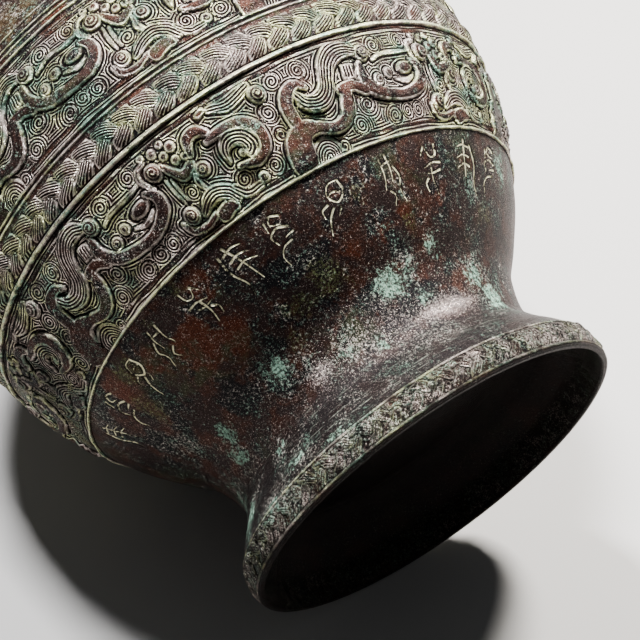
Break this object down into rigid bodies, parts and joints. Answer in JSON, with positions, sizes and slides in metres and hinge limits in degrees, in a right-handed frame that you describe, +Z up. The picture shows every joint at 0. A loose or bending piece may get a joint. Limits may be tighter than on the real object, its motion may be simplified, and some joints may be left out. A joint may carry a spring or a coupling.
{
  "type": "bronze hu vessel",
  "caption": "Cast bronze hu: a tall round wine vessel, hollow, on a flared foot ring, with bands of curling dragons, rope bands, an inscribed zone and a plain flared neck.",
  "frame": {"origin": "on the ground at the middle of the foot ring", "axes": "+Z up along the vessel's axis from the foot to the mouth, -Y towards the side that the picture shows"},
  "size_m": [0.26, 0.2608, 0.44],
  "materials": {
    "bronze": "dark patinated bronze with red-brown, black and green corrosion and pale worn ridges"
  },
  "bodies": {
    "root": {"vessel": "bronze"}
  },
  "joints": []
}
